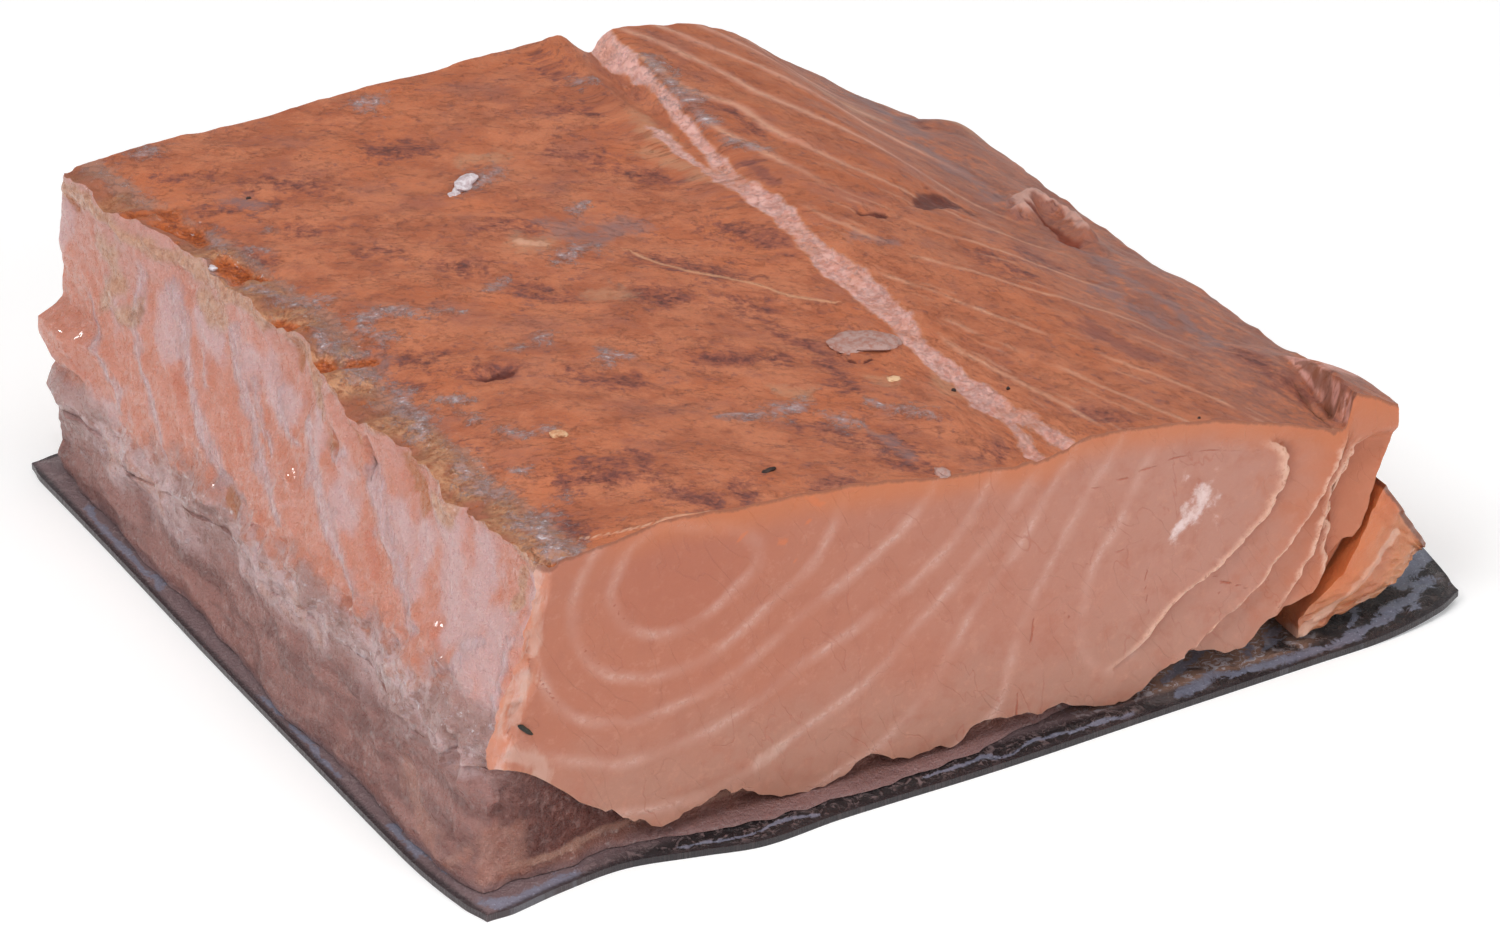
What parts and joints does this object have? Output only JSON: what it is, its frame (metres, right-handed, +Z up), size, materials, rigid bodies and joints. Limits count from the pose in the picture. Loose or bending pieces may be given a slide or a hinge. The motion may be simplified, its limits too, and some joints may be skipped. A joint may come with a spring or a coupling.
{
  "type": "smoked salmon fillet piece",
  "caption": "Thick block of hot-smoked salmon cut across the fillet, lying on its skin: browned top with the pale backbone seam, flaky cut ends, dark meat under the flesh, a loose belly flake.",
  "frame": {"origin": "centre of the bounding box in X and Y, on the underside of the skin", "axes": "+Z up through the thickness of the fillet; +X across the fillet, from the back of the fish to its belly; +Y along the fish, away from the cut shown"},
  "size_m": [0.1482, 0.133, 0.0451],
  "materials": {
    "flesh": "moist salmon-pink cut flesh with a browned smoked top",
    "dark_meat": "moist mauve-brown meat",
    "skin": "wet charcoal skin with silver-blue patches inside",
    "belly_flake": "moist salmon-orange flake with a browned outer edge"
  },
  "bodies": {
    "root": {"flesh": "flesh", "dark_meat": "dark_meat", "skin": "skin", "belly_flake": "belly_flake"}
  },
  "joints": []
}
